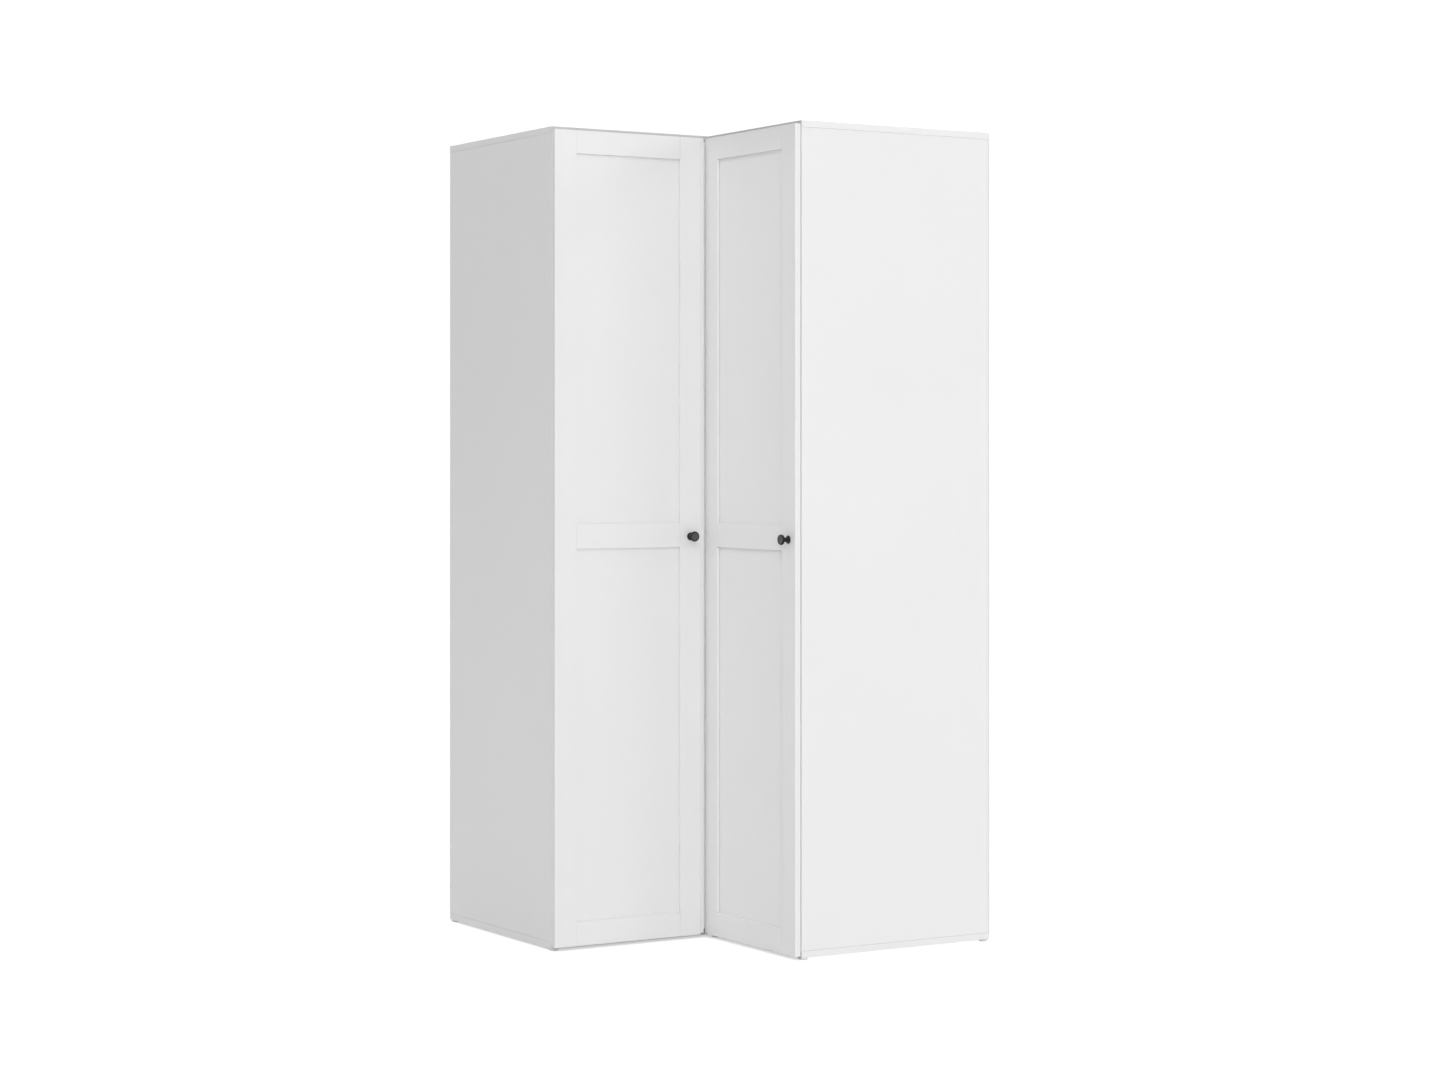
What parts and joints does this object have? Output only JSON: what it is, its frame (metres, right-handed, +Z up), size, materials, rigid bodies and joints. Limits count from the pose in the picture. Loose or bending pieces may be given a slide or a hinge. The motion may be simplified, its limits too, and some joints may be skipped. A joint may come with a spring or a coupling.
{
  "type": "corner wardrobe",
  "caption": "L-shaped corner wardrobe with a panelled door on each wing, round knobs, a hat shelf and a clothes rail in each wing.",
  "frame": {"origin": "middle of the footprint's box, on the floor under the glides", "axes": "+Z up; the left wing runs towards -X and its door faces -Y; the right wing runs towards -Y and its door faces -X; the backs stand against walls at +X and +Y"},
  "size_m": [1.01, 0.99, 2.02],
  "materials": {
    "white_foil": "chipboard with smooth white foil, satin",
    "white_sheet": "thin hardboard, painted white inside",
    "black_metal": "satin black lacquer",
    "nickel_steel": "nickel plated",
    "zinc_steel": "zinc plated",
    "white_plastic": "moulded white plastic"
  },
  "bodies": {
    "carcass": {"bottom_board": "white_foil", "corner_filler": "white_foil", "corner_jamb": "white_foil", "corner_return": "white_foil", "hat_shelf": "white_foil", "hinge_upright": "white_foil", "inner_corner_glide": "white_plastic", "left_back_sheet_inner": "white_sheet", "left_back_sheet_outer": "white_sheet", "left_clothes_rail": "nickel_steel", "left_end_panel": "white_foil", "left_front_glide": "white_plastic", "left_hinge_arm_1": "nickel_steel", "left_hinge_arm_2": "nickel_steel", "left_hinge_arm_3": "nickel_steel", "left_rail_hanger": "nickel_steel", "left_rail_socket": "nickel_steel", "left_rear_glide": "white_plastic", "left_shelf_cleat": "white_foil", "left_wall_bracket": "zinc_steel", "rear_corner_glide": "white_plastic", "rear_corner_post": "white_foil", "right_back_sheet_inner": "white_sheet", "right_back_sheet_outer": "white_sheet", "right_clothes_rail": "nickel_steel", "right_end_panel": "white_foil", "right_front_glide": "white_plastic", "right_hinge_arm_1": "nickel_steel", "right_hinge_arm_2": "nickel_steel", "right_hinge_arm_3": "nickel_steel", "right_rail_hanger": "nickel_steel", "right_rail_socket": "nickel_steel", "right_rear_glide": "white_plastic", "right_shelf_cleat": "white_foil", "right_wall_bracket": "zinc_steel", "top_board": "white_foil"},
    "left_door": {"left_door_bottom_rail": "white_foil", "left_door_closing_stile": "white_foil", "left_door_hinge_stile": "white_foil", "left_door_knob": "black_metal", "left_door_knob_screw": "zinc_steel", "left_door_lower_panel": "white_foil", "left_door_middle_rail": "white_foil", "left_door_top_rail": "white_foil", "left_door_upper_panel": "white_foil", "left_hinge_cup_1": "nickel_steel", "left_hinge_cup_2": "nickel_steel", "left_hinge_cup_3": "nickel_steel"},
    "right_door": {"right_door_bottom_rail": "white_foil", "right_door_closing_stile": "white_foil", "right_door_hinge_stile": "white_foil", "right_door_knob": "black_metal", "right_door_knob_screw": "zinc_steel", "right_door_lower_panel": "white_foil", "right_door_middle_rail": "white_foil", "right_door_top_rail": "white_foil", "right_door_upper_panel": "white_foil", "right_hinge_cup_1": "nickel_steel", "right_hinge_cup_2": "nickel_steel", "right_hinge_cup_3": "nickel_steel"}
  },
  "joints": [
    {"name": "left_door_hinge", "type": "hinge", "parent": "carcass", "child": "left_door", "pos_m": [-0.4995, -0.076, 1], "axis": [0, 0, -1], "range_deg": [0, 95]},
    {"name": "right_door_hinge", "type": "hinge", "parent": "carcass", "child": "right_door", "pos_m": [-0.066, -0.0805, 1], "axis": [0, 0, -1], "range_deg": [0, 45]}
  ]
}
